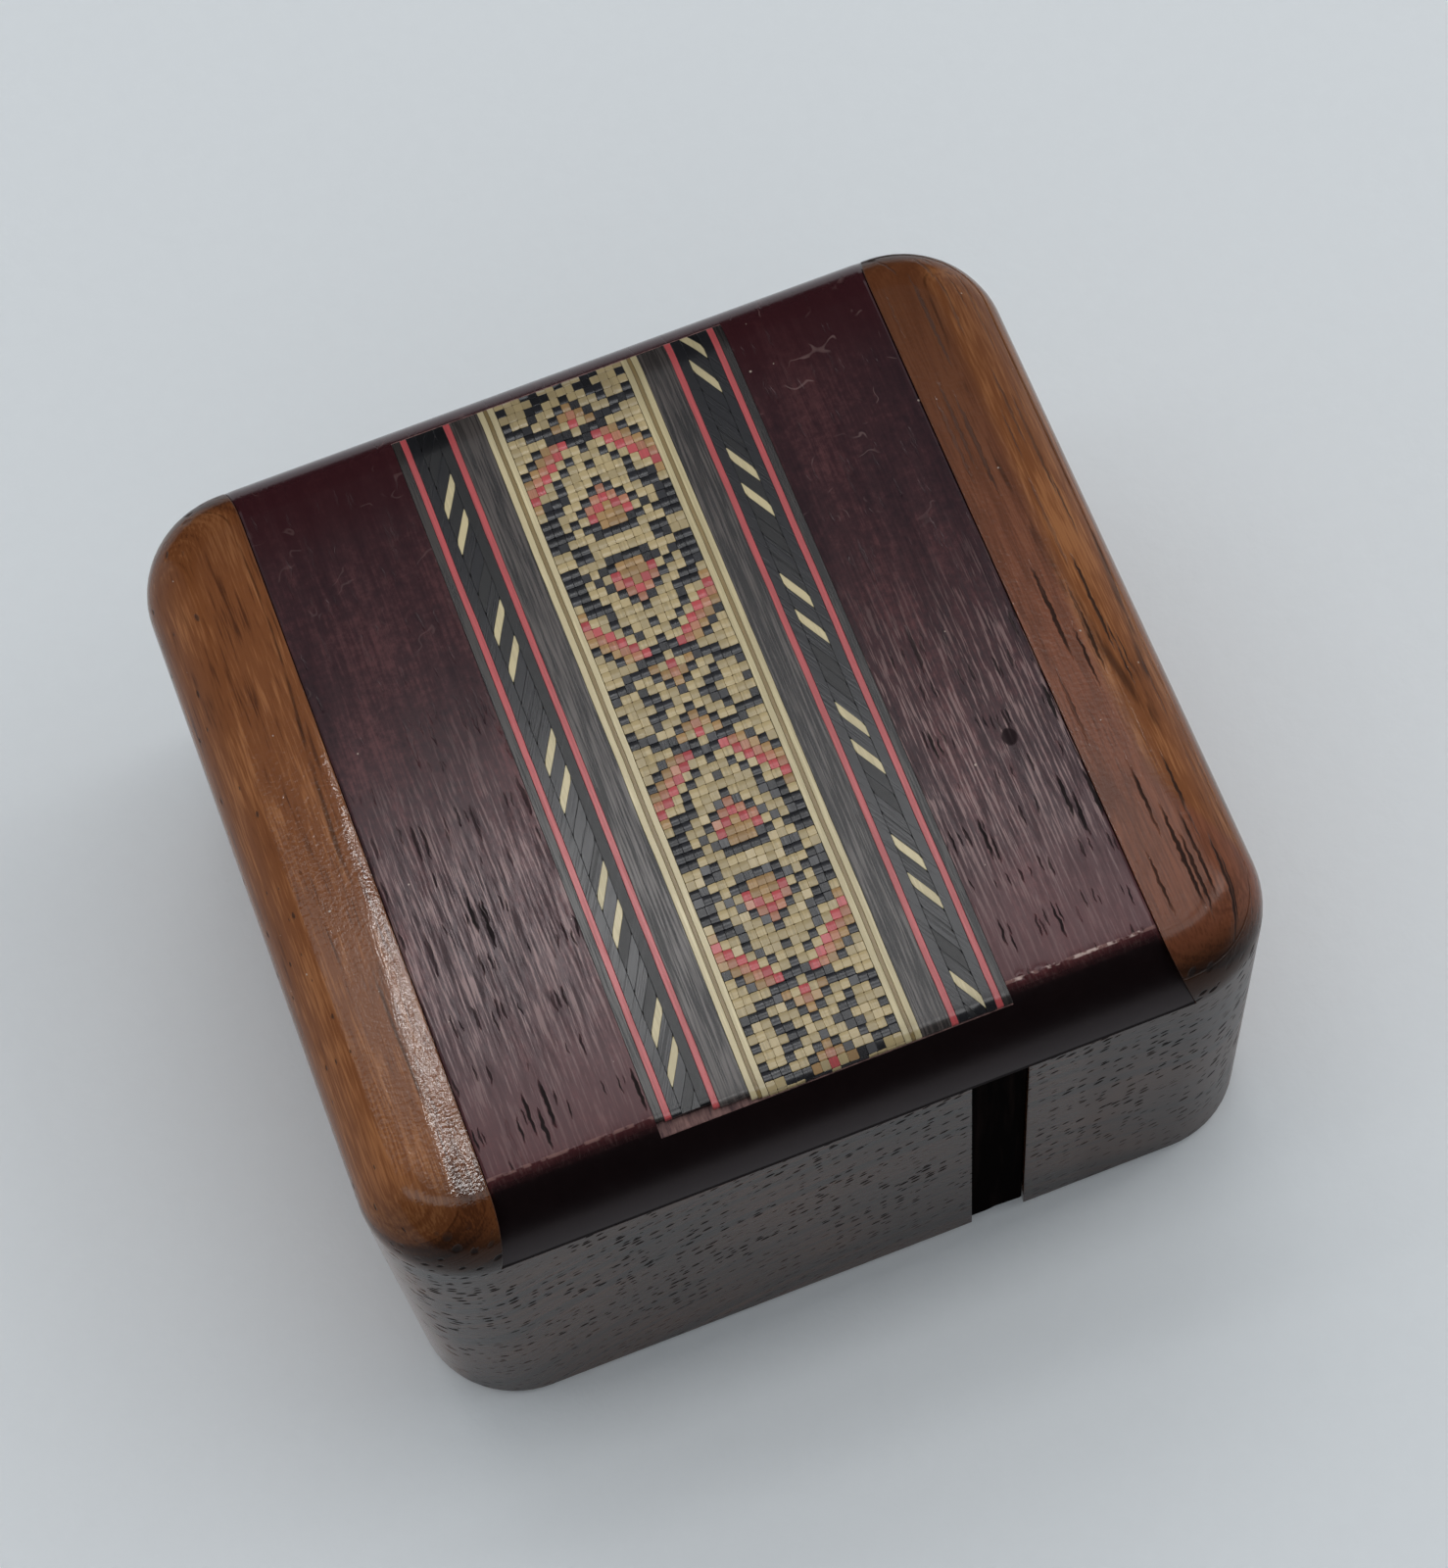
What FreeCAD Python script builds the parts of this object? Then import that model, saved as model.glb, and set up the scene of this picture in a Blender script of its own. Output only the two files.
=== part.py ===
import FreeCAD, Part
import math
import os

# Small wooden puzzle box, in millimetres. X runs along the front, Y from front to back, Z up.
# The origin is the middle of the underside.
# A lid slides along Y in a dovetail channel, over a routed pocket. A dovetailed key in the
# front wall slides down. A band of coloured woods is inlaid along the lid.

# Block
body_width = 64.0
body_length = 60.0
body_height = 38.0
corner_radius = 7.5
edge_radius = 4.2
foot_chamfer = 0.8

# Pocket, by the walls that are left round it
side_wall = 10.0
end_wall = 8.5
floor_thickness = 6.0
pocket_corner_radius = 6.0

# Lid between the rails, its dovetail and its rounded front end
lid_thickness = 4.2
rail_width = 8.5
lid_dovetail_angle = 14.0
slide_clearance = 0.08
nose_length = 4.7
nose_arris_angle = 15.0

# Key in the front wall
key_width = 4.0
key_depth = 4.0
key_dovetail_angle = 10.0
key_offset = 10.6
key_recess = 0.3
key_lift = 1.2
key_clearance = 0.05

# Band: widths from the mosaic outwards, and the glue line between neighbours
band_thickness = 0.5
band_offset = 0.46
glue_line = 0.02
cream_line_width = 0.43
brown_line_width = 0.26
wide_strip_width = 2.06
red_line_width = 0.45
rope_strip_width = 2.72
edge_line_width = 0.6
worn_end_length = 1.0

# Rope strips: pairs of leaning slivers. The first pair is placed from the band's front end
sliver_width = 1.3
sliver_edge_length = 1.08
sliver_rise = 2.33
sliver_spacing = 2.92
sliver_pair_pitch = 10.35
left_first_pair = 5.87
right_first_pair = 0.42

# Mosaic: columns on each side of the middle one, rows on each side of a crossing that make one
# repeat, and the first crossing, placed from the band's front end
tile_width = 0.638
tile_length = 0.68
side_columns = 7
half_repeat_rows = 18
first_crossing = 3.18

# Strokes of one quarter of the motif: the wood, the row counted from a crossing, the column
# counted from the middle, the rows that it runs for, the columns that it shifts by at each
# row, and its width in tiles. Tiles that no stroke covers are dark.
motif_strokes = [
    # Arms of the crossing, with the leaf beside them
    ("cream", 0, 0, 4, 1, 2),
    ("cream", 0, 4, 2, 1, 3),
    ("cream", 2, 5, 1, 0, 2),
    # Petal between the arms
    ("tan", 2, 0, 3, 1, 1),
    ("pink", 3, 0, 1, 0, 1),
    ("red", 4, 0, 1, 0, 1),
    ("cream", 4, 1, 1, 0, 1),
    ("cream", 5, 0, 1, 0, 1),
    # Triangle at the side
    ("cream", 4, 6, 1, 0, 2),
    ("cream", 5, 4, 1, 0, 4),
    ("cream", 6, 6, 2, 1, 2),
    # Slanted bar of three woods, with its cream lining
    ("red", 6, 2, 6, 1, 1),
    ("pink", 6, 3, 5, 1, 1),
    ("tan", 6, 4, 4, 1, 1),
    ("cream", 7, 2, 5, 1, 1),
    # Chevrons inside the bar
    ("cream", 7, 1, 1, 0, 1),
    ("cream", 8, 0, 2, 1, 2),
    ("cream", 10, 0, 1, 0, 4),
    ("cream", 11, 1, 1, 0, 3),
    ("cream", 11, 5, 1, 0, 1),
    # Eye and its rim
    ("pink", 12, 0, 3, 1, 1),
    ("red", 13, 0, 3, 1, 1),
    ("tan", 14, 0, 1, 0, 1),
    ("tan", 15, 0, 2, 0, 2),
    ("cream", 12, 2, 3, 1, 2),
    ("cream", 15, 3, 1, 0, 1),
    ("cream", 15, 5, 2, -1, 1),
    ("cream", 17, 3, 1, 0, 3),
    ("cream", 18, 0, 1, 0, 4),
    # Marks at the side of the eye
    ("tan", 12, 7, 1, 0, 1),
    ("cream", 13, 7, 1, 0, 1),
    ("cream", 18, 6, 1, 0, 2),
]
mosaic_woods = ["dark", "cream", "red", "pink", "tan"]
shortest_tile = 0.08

# How far a cut runs past the wood, and how close two places count as one
overshoot = 5.0
tolerance = 0.01

# Levels and faces that several pieces share
lid_underside = body_height - lid_thickness
band_underside = body_height - band_thickness
front_face = -body_length / 2
back_face = body_length / 2
mosaic_half_width = (side_columns + 0.5) * tile_width
lid_flare = lid_thickness * math.tan(math.radians(lid_dovetail_angle))


def point(x, y, z):
    return FreeCAD.Vector(x, y, z)


def box(x_low, x_high, y_low, y_high, z_low, z_high):
    return Part.makeBox(x_high - x_low, y_high - y_low, z_high - z_low, point(x_low, y_low, z_low))


def prism(corners, direction):
    """Solid swept from the closed polygon through the corners."""
    outline = Part.makePolygon(corners + [corners[0]])
    return Part.Face(outline).extrude(direction)


def upright_edges(shape):
    return [edge for edge in shape.Edges if edge.BoundBox.ZLength > tolerance]


def level_edges(shape, z):
    """Edges that lie all the way at one height."""
    return [
        edge for edge in shape.Edges
        if abs(edge.BoundBox.ZMin - z) < tolerance and abs(edge.BoundBox.ZMax - z) < tolerance
    ]


def rounded_block():
    """Outside of the closed box: body and lid are sanded to it together."""
    block = box(-body_width / 2, body_width / 2, front_face, back_face, 0, body_height)
    block = block.makeFillet(corner_radius, upright_edges(block))
    block = block.makeFillet(edge_radius, level_edges(block, body_height))
    return block.makeChamfer(foot_chamfer, level_edges(block, 0))


def dovetail_bar(clearance):
    """Long bar with the lid's section, wider below, opened by the clearance on both sides."""
    top = body_width / 2 - rail_width + clearance
    low = top + lid_flare
    # The sides are carried on above the top of the box at the same slant
    high = top - overshoot * lid_flare / lid_thickness
    y = front_face - overshoot
    corners = [
        point(-low, y, lid_underside),
        point(low, y, lid_underside),
        point(high, y, body_height + overshoot),
        point(-high, y, body_height + overshoot),
    ]
    return prism(corners, point(0, body_length + 2 * overshoot, 0))


def nose_arc():
    """Centre and radius, in Y and Z, of the arc that rounds the lid's front end.

    It passes through the lid's lower front edge, and meets the flat top at the arris angle.
    """
    angle = math.radians(nose_arris_angle)
    chord_squared = nose_length ** 2 + lid_thickness ** 2
    radius = chord_squared / (2 * (lid_thickness * math.cos(angle) - nose_length * math.sin(angle)))
    arris = front_face + nose_length
    return arris + radius * math.sin(angle), body_height - radius * math.cos(angle), radius


def nose_face_y(z):
    """Where the rounded front end is at a height."""
    centre_y, centre_z, radius = nose_arc()
    return centre_y - math.sqrt(radius ** 2 - (z - centre_z) ** 2)


def nose_waste():
    """What is taken off the lid's front end, outside its arc."""
    x = -body_width / 2
    middle_z = body_height - lid_thickness / 2
    low = point(x, front_face, lid_underside)
    middle = point(x, nose_face_y(middle_z), middle_z)
    arris = point(x, front_face + nose_length, body_height)
    above = point(x, front_face + nose_length, body_height + overshoot)
    outer = point(x, front_face - overshoot, body_height + overshoot)
    below = point(x, front_face - overshoot, lid_underside)
    edges = [
        Part.Arc(low, middle, arris).toShape(),
        Part.makeLine(arris, above),
        Part.makeLine(above, outer),
        Part.makeLine(outer, below),
        Part.makeLine(below, low),
    ]
    return Part.Face(Part.Wire(edges)).extrude(point(body_width, 0, 0))


def key_bar(front_y, clearance, z_low, z_high):
    """Upright bar with the key's plan, wider towards the pocket."""
    slope = math.tan(math.radians(key_dovetail_angle))
    back_y = front_face + key_depth + clearance

    def half_width(y):
        return key_width / 2 + clearance + (y - front_face) * slope

    corners = [
        point(key_offset - half_width(front_y), front_y, z_low),
        point(key_offset + half_width(front_y), front_y, z_low),
        point(key_offset + half_width(back_y), back_y, z_low),
        point(key_offset - half_width(back_y), back_y, z_low),
    ]
    return prism(corners, point(0, 0, z_high - z_low))


def pocket():
    half_width = body_width / 2 - side_wall
    half_length = body_length / 2 - end_wall
    hollow = box(
        -half_width, half_width, -half_length, half_length,
        floor_thickness, lid_underside + overshoot,
    )
    return hollow.makeFillet(pocket_corner_radius, upright_edges(hollow))


def make_body(block):
    body = block.cut(dovetail_bar(slide_clearance))
    body = body.cut(pocket())
    return body.cut(key_bar(front_face - overshoot, key_clearance, -overshoot, lid_underside + overshoot))


def make_lid(block, groove_half_width):
    lid = block.common(dovetail_bar(0))
    lid = lid.cut(nose_waste())
    groove = box(
        band_offset - groove_half_width, band_offset + groove_half_width,
        front_face - overshoot, back_face + overshoot,
        band_underside, body_height + overshoot,
    )
    return lid.cut(groove)


def make_key():
    return key_bar(front_face + key_recess, 0, key_lift, lid_underside)


def band_front():
    """Front end of the band, where the groove's floor runs out on the rounded end."""
    return nose_face_y(band_underside)


def rounded_from():
    """How far from the middle, along Y, the block's rounding starts."""
    return body_length / 2 - edge_radius


def band_back():
    """Back end of the band, where its underside comes out on the block's rounding."""
    return rounded_from() + math.sqrt(edge_radius ** 2 - (edge_radius - band_thickness) ** 2)


def strip(block, x_low, x_high, setback):
    """One straight strip of the band, sanded to the block's rounding at the back."""
    y_low = band_front() + setback
    return box(x_low, x_high, y_low, back_face, band_underside, body_height).common(block)


def sliver(centre_x, centre_y, lean, growth):
    """One leaning piece of a rope strip. Its short edges run along the strip."""
    half = sliver_width / 2 + growth
    edge = sliver_edge_length / 2 + growth
    rise = lean * sliver_rise * half / sliver_width
    corners = [
        point(centre_x - half, centre_y - rise - edge, band_underside),
        point(centre_x + half, centre_y + rise - edge, band_underside),
        point(centre_x + half, centre_y + rise + edge, band_underside),
        point(centre_x - half, centre_y - rise + edge, band_underside),
    ]
    return prism(corners, point(0, 0, band_thickness))


def sliver_centres(first_pair, y_low):
    """Places along Y of the slivers of one rope strip, in pairs. The back end may cut one."""
    reach = (sliver_edge_length + sliver_rise) / 2
    pairs = math.ceil(body_length / sliver_pair_pitch)
    places = []
    for pair in range(pairs):
        middle = band_front() + first_pair + pair * sliver_pair_pitch
        for y in (middle - sliver_spacing / 2, middle + sliver_spacing / 2):
            if y_low + reach < y < band_back():
                places.append(y)
    return places


def make_rope(block, x_low, x_high, setback, first_pair, lean):
    """A dark strip and the pale slivers let into it."""
    centre_x = (x_low + x_high) / 2
    y_low = band_front() + setback + glue_line
    places = sliver_centres(first_pair, y_low)
    slivers = [sliver(centre_x, y, lean, 0).common(block) for y in places]
    holes = [sliver(centre_x, y, lean, glue_line) for y in places]
    dark = strip(block, x_low, x_high, setback).cut(Part.makeCompound(holes))
    return dark, Part.makeCompound(slivers)


def quarter_motif():
    """Wood of each tile that the strokes cover, by row from a crossing and column."""
    tiles = {}
    for wood, row, column, rows, shift, width in motif_strokes:
        for step in range(rows):
            first = column + step * shift
            for place in range(first, first + width):
                tiles[row + step, place] = wood
    return tiles


def row_runs(tiles, row):
    """Runs of one wood along a row of the mosaic, as wood, first column and last column."""
    period = 2 * half_repeat_rows + 1
    along = row % period
    from_crossing = min(along, period - along)
    columns = range(-side_columns, side_columns + 1)
    woods = [tiles.get((from_crossing, abs(column)), "dark") for column in columns]
    runs = []
    for column, wood in zip(columns, woods):
        if runs and runs[-1][0] == wood:
            runs[-1] = (wood, runs[-1][1], column)
        else:
            runs.append((wood, column, column))
    return runs


def tile_rows(first_row, last_row):
    """Runs of one wood, each with its first and last row: like runs in a row of rows are one piece."""
    tiles = quarter_motif()
    pieces = []
    open_runs = {}
    for row in range(first_row, last_row + 1):
        runs = row_runs(tiles, row)
        pieces += [(run, start, row - 1) for run, start in open_runs.items() if run not in runs]
        open_runs = {run: open_runs.get(run, row) for run in runs}
    return pieces + [(run, start, last_row) for run, start in open_runs.items()]


def make_mosaic(block):
    """Tiles of the mosaic, grouped by wood. Rows are counted forwards from a crossing."""
    pieces = {wood: [] for wood in mosaic_woods}
    front = band_front()
    back = band_back()
    gap = glue_line / 2
    crossing = front + first_crossing
    first_row = -math.floor((back - shortest_tile - crossing) / tile_length + 0.5)
    last_row = math.floor((crossing - front - shortest_tile) / tile_length + 0.5)
    for (wood, first, last), start, end in tile_rows(first_row, last_row):
        x_low = band_offset + (first - 0.5) * tile_width + gap
        x_high = band_offset + (last + 0.5) * tile_width - gap
        y_low = max(crossing - (end + 0.5) * tile_length + gap, front)
        y_high = crossing - (start - 0.5) * tile_length - gap
        piece = box(x_low, x_high, y_low, y_high, band_underside, body_height)
        if max(-y_low, y_high) > rounded_from():
            piece = piece.common(block)
        pieces[wood].append(piece)
    return {wood: Part.makeCompound(group) for wood, group in pieces.items()}


def band_strips():
    """Name, inner edge and outer edge of each strip, from the mosaic outwards."""
    widths = [
        ("cream_line_inner", cream_line_width),
        ("brown_line", brown_line_width),
        ("cream_line_outer", cream_line_width),
        ("wide_strip", wide_strip_width),
        ("red_line_inner", red_line_width),
        ("rope_strip", rope_strip_width),
        ("red_line_outer", red_line_width),
        ("edge_line", edge_line_width),
    ]
    strips = []
    inner = mosaic_half_width + glue_line
    for name, width in widths:
        strips.append((name, inner, inner + width))
        inner = inner + width + glue_line
    return strips


def make_band(block):
    """Every piece of the band, by node name."""
    strips = band_strips()
    half_width = strips[-1][2]
    pieces = {}
    for side, sign, first_pair in (("left", -1, left_first_pair), ("right", 1, right_first_pair)):
        for name, inner, outer in strips:
            x_low, x_high = sorted((band_offset + sign * inner, band_offset + sign * outer))
            # The band's left part is worn back at the front end, most at its outer edge
            worn = (outer - mosaic_half_width) / (half_width - mosaic_half_width)
            setback = worn_end_length * worn if side == "left" else 0
            if name == "rope_strip":
                dark, slivers = make_rope(block, x_low, x_high, setback, first_pair, -sign)
                pieces[f"{name}_{side}"] = dark
                pieces[f"rope_slivers_{side}"] = slivers
            else:
                pieces[f"{name}_{side}"] = strip(block, x_low, x_high, setback)
    for wood, group in make_mosaic(block).items():
        pieces[f"mosaic_{wood}"] = group
    return pieces


def main():
    block = rounded_block()
    groove_half_width = band_strips()[-1][2] + glue_line
    nodes = {
        "box_body": make_body(block),
        "lid": make_lid(block, groove_half_width),
        "key": make_key(),
    }
    nodes.update(make_band(block))
    os.makedirs("parts", exist_ok=True)
    for name, shape in nodes.items():
        if not shape.isValid():
            raise ValueError(f"{name} is not a valid shape")
        shape.exportStep(f"parts/{name}.step")
        print(name, len(shape.Solids), "solids", round(shape.Volume, 2), "mm3")


main()
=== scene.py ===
import math
import random

import bmesh
import bpy
from bpy.props import FloatProperty, FloatVectorProperty, PointerProperty
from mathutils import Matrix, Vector, noise


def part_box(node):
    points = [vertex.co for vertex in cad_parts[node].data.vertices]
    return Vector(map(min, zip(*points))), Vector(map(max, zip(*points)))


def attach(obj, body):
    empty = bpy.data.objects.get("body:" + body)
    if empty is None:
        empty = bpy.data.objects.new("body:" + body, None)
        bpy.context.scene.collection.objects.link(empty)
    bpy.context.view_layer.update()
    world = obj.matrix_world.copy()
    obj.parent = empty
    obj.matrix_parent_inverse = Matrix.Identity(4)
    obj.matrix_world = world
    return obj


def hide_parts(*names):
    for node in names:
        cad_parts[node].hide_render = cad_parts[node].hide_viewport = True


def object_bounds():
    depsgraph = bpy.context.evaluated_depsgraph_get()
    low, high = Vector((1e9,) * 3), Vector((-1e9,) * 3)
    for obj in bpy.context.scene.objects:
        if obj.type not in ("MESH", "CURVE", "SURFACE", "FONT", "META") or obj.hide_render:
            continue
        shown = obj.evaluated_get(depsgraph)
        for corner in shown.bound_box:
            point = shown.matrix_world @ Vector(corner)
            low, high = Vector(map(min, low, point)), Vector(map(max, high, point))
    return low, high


bl_info = {
    "name": "Inlaid Puzzle Box",
    "version": (1, 0, 0),
    "blender": (4, 5, 0),
    "location": "3D View > Sidebar > Puzzle Box",
    "description": "Gives the puzzle box its woods, its inlaid band, its wear and a small studio",
    "category": "Object",
}

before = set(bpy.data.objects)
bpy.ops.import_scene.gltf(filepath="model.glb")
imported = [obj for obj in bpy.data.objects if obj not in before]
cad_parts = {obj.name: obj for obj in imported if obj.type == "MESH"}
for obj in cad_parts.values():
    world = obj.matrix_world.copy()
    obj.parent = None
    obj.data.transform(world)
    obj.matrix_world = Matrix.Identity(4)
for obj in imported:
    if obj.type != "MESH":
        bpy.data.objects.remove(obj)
cad_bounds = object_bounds()

MM = 0.001
TOLERANCE = 0.001 * MM
WELD = 0.0005 * MM
SIDES = ("left", "right")
MOSAIC_WOODS = ("dark", "cream", "red", "pink", "tan")
MOSAIC_COLUMNS = 15
MOSAIC_SEED = 11


def seen(red, green, blue):
    """Linear colour of a tone as a screen shows it, from 0 to 255."""
    def linear(value):
        share = value / 255
        if share <= 0.04045:
            return share / 12.92
        return ((share + 0.055) / 1.055) ** 2.4
    return (linear(red), linear(green), linear(blue))


def darker(tone, share):
    return tuple(value * share for value in tone)


def colour(name, description, tone):
    return FloatVectorProperty(
        name=name, description=description, default=seen(*tone), subtype="COLOR", min=0.0, max=1.0,
    )


def length(name, description, millimetres):
    return FloatProperty(
        name=name, description=description, default=millimetres * MM, unit="LENGTH", min=0.0,
    )


def power(name, description, watts):
    return FloatProperty(name=name, description=description, default=watts, unit="POWER", min=0.0)


class BlockWoods(bpy.types.PropertyGroup):
    """Tones of the body, the lid and the key."""

    amber_light: colour("Amber light", "Palest streaks of the body", (152, 100, 62))
    amber: colour("Amber", "Main tone of the body", (120, 72, 41))
    amber_dark: colour("Amber dark", "Dark streaks of the body", (80, 45, 25))
    amber_heart: colour("Amber heart", "Pinkish heartwood of the right rail", (122, 72, 52))
    lid_light: colour("Lid light", "Palest streaks of the lid", (94, 55, 56))
    lid: colour("Lid", "Main tone of the lid", (60, 32, 36))
    lid_dark: colour("Lid dark", "Dark streaks of the lid", (38, 20, 26))
    # Tone of the bare wood in the groove, and also of a painted highlight laid over real wear along the lid's
    # front arris.
    lid_bare_and_highlight: colour("Lid bare", "Worn and unpolished spots of the lid", (132, 98, 92))
    # Pale chips along the front arris, partly fresh breaks and partly painted highlight.
    lid_chip_and_highlight: colour("Lid chip", "Fresh breaks along the lid's front arris", (196, 174, 166))
    # Painted glints on the lid's ridges, and also the tone of real scuffs at its back.
    lid_glint_and_scuff: colour("Lid crest", "Worn ridges between the lid's pores", (148, 122, 118))
    lid_wine: colour("Lid wine", "Redder stretch towards the lid's front", (84, 42, 44))
    lid_back: colour("Lid back", "Dark red stretch at the lid's back", (53, 23, 27))
    pore: colour("Pore", "Open pores of body and lid", (14, 8, 8))
    dust: colour("Dust", "Pale specks of dust", (168, 152, 140))
    ebony: colour("Ebony", "Main tone of the key", (10, 8, 8))
    ebony_streak: colour("Ebony streak", "Brown streaks of the key", (20, 15, 14))


class BandWoods(bpy.types.PropertyGroup):
    """Tones of the inlaid band."""

    cream: colour("Cream", "Cream tiles, and the fibres of the cream lines", (194, 174, 130))
    pale: colour("Pale", "Pale veneer of the slivers and of the cream lines on the right", (214, 199, 156))
    # Painted highlight: a lighter copy of the cream veneer, used for the cream lines on the left.
    cream_highlight: colour("Fresh", "Less darkened veneer of the cream lines on the left", (230, 215, 173))
    tan: colour("Tan", "Light brown tiles", (178, 142, 96))
    pink: colour("Pink", "Pale red tiles", (192, 132, 104))
    red: colour("Red", "Dyed red veneer", (199, 88, 91))
    brown: colour("Brown", "Thin line between the cream lines", (150, 128, 86))
    black: colour("Black", "Dyed black veneer of the rope strips and tiles", (48, 48, 52))
    black_dark: colour("Deep black", "Dark fibres of the black veneer", (20, 20, 22))
    grey: colour("Grey", "Weathered black veneer of the wide strips and edge lines", (92, 85, 82))
    grey_dark: colour("Deep grey", "Dark fibres of the weathered veneer", (30, 27, 28))


class BandShape(bpy.types.PropertyGroup):
    """Small sizes of the inlaid band."""

    row_step: length("Row step", "Step of the mosaic's rows", 0.68)
    first_crossing: length("First crossing", "From the band's front end to the first crossing", 3.18)
    joint: length("Joint", "Glue line round each piece", 0.012)
    wander: length("Wander", "How far a tile's sides stray", 0.035)
    corner_cut: length("Corner cut", "Worn corner of a tile", 0.045)
    ease: length("Ease", "Bevel at the top of each piece", 0.02)
    sway: length("Sway", "How far the strips' edges stray", 0.05)
    station: length("Station", "Step of the points along a strip", 0.4)
    soft_end: length("Soft end", "Rounding of a strip's front end", 0.06)
    worn_end: length("Worn end", "Stretch of the band that is worn down at its front end", 0.6)
    end_wear: length("End wear", "How far the band's front end is worn down", 0.14)
    thin_end: length("Thin end", "What is left of the band's thickness at its back end", 0.04)
    dark_slant: length("Dark slant", "Length of the dark pieces between the slivers", 1.6)
    sliver_tip: length("Sliver tip", "What is blunted off the points of a leaning piece", 0.1)


class LidShape(bpy.types.PropertyGroup):
    """Small sizes of the lid."""

    arris_angle: FloatProperty(
        name="Arris angle", description="Turn where the rounded front end meets the top",
        default=math.radians(15.0), unit="ROTATION",
    )
    column: length("Column", "Step of the points across the lid", 0.2)
    side_ease: length("Side ease", "Depth of the eased edge beside the rails", 0.08)
    side_reach: length("Side reach", "Width of the eased edge beside the rails", 0.15)
    chip_depth: length("Chip depth", "Deepest chip along the front arris", 0.2)
    chip_reach: length("Chip reach", "How far a chip spreads from the arris", 0.5)
    glue_line: length("Glue line", "Between the band and the side of its groove", 0.02)
    knot_radius: length("Knot radius", "Small dark knot on the right of the lid", 0.6)


class KeyShape(bpy.types.PropertyGroup):
    """Small sizes of the key."""

    ease: length("Ease", "Rounding of the key's edges and ends", 0.16)
    waver: length("Waver", "How far the hand-planed faces stray inwards", 0.07)
    station: length("Station", "Step of the points along the key", 0.8)


class Studio(bpy.types.PropertyGroup):
    """Camera, lamps and floor."""

    camera_place: FloatVectorProperty(
        name="Camera place", description="Where the camera stands", subtype="TRANSLATION", unit="LENGTH",
        default=(-0.021106, -0.102737, 0.286794),
    )
    camera_turn: FloatVectorProperty(
        name="Camera turn", description="How the camera is turned", subtype="EULER", unit="ROTATION",
        default=(math.radians(21.652), math.radians(3.281), math.radians(-20.776)),
    )
    lens: FloatProperty(
        name="Lens", description="Focal length on a 36 mm high sensor", default=91.54, unit="CAMERA",
    )
    floor: colour("Floor", "Pale floor", (243, 248, 251))
    sky: colour("Sky", "Soft light overhead", (134, 137, 140))
    horizon: colour("Horizon", "Pale surroundings", (212, 215, 218))
    flag: colour("Flag", "Black cloth that the polish mirrors", (16, 15, 16))
    flag_dark: colour("Flag dark", "Darkest stretches of that cloth", (10, 10, 12))
    broad_power: power("Broad lamp", "Soft lamp overhead", 2.6)
    strip_power: power("Strip lamp", "Brighter strip at the back of the broad lamp", 1.7)
    side_power: power("Side lamp", "Soft lamp on the right", 1.4)
    back_power: power("Back lamp", "Soft lamp behind the box, not seen in its polish", 1.8)
    rail_power: power("Rail pane", "Small window whose glare shows on the left rail", 0.9)
    lid_power: power("Lid pane", "Small window whose glare shows on the lid", 0.09)


def settings(group):
    return getattr(bpy.context.scene, group)


class Signal:
    """What a node gives out over a surface. Numbers of this kind can be added and multiplied."""

    def __init__(self, finish, socket):
        self.finish = finish
        self.socket = socket

    def __add__(self, other):
        return self.finish.math("ADD", self, other)

    def __sub__(self, other):
        return self.finish.math("SUBTRACT", self, other)

    def __rsub__(self, other):
        return self.finish.math("SUBTRACT", other, self)

    def __mul__(self, other):
        return self.finish.math("MULTIPLY", self, other)

    def __abs__(self):
        return self.finish.math("ABSOLUTE", self)

    __radd__ = __add__
    __rmul__ = __mul__

    def larger(self, other):
        return self.finish.math("MAXIMUM", self, other)

    def smaller(self, other):
        return self.finish.math("MINIMUM", self, other)

    def fraction(self):
        return self.finish.math("FRACT", self)

    def step(self, low, high):
        """Smooth change from 0 at low to 1 at high, whichever of the two is larger."""
        sockets = {"Value": self, "From Min": low, "From Max": high}
        return self.finish.signal("ShaderNodeMapRange", sockets, interpolation_type="SMOOTHSTEP")


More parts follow.
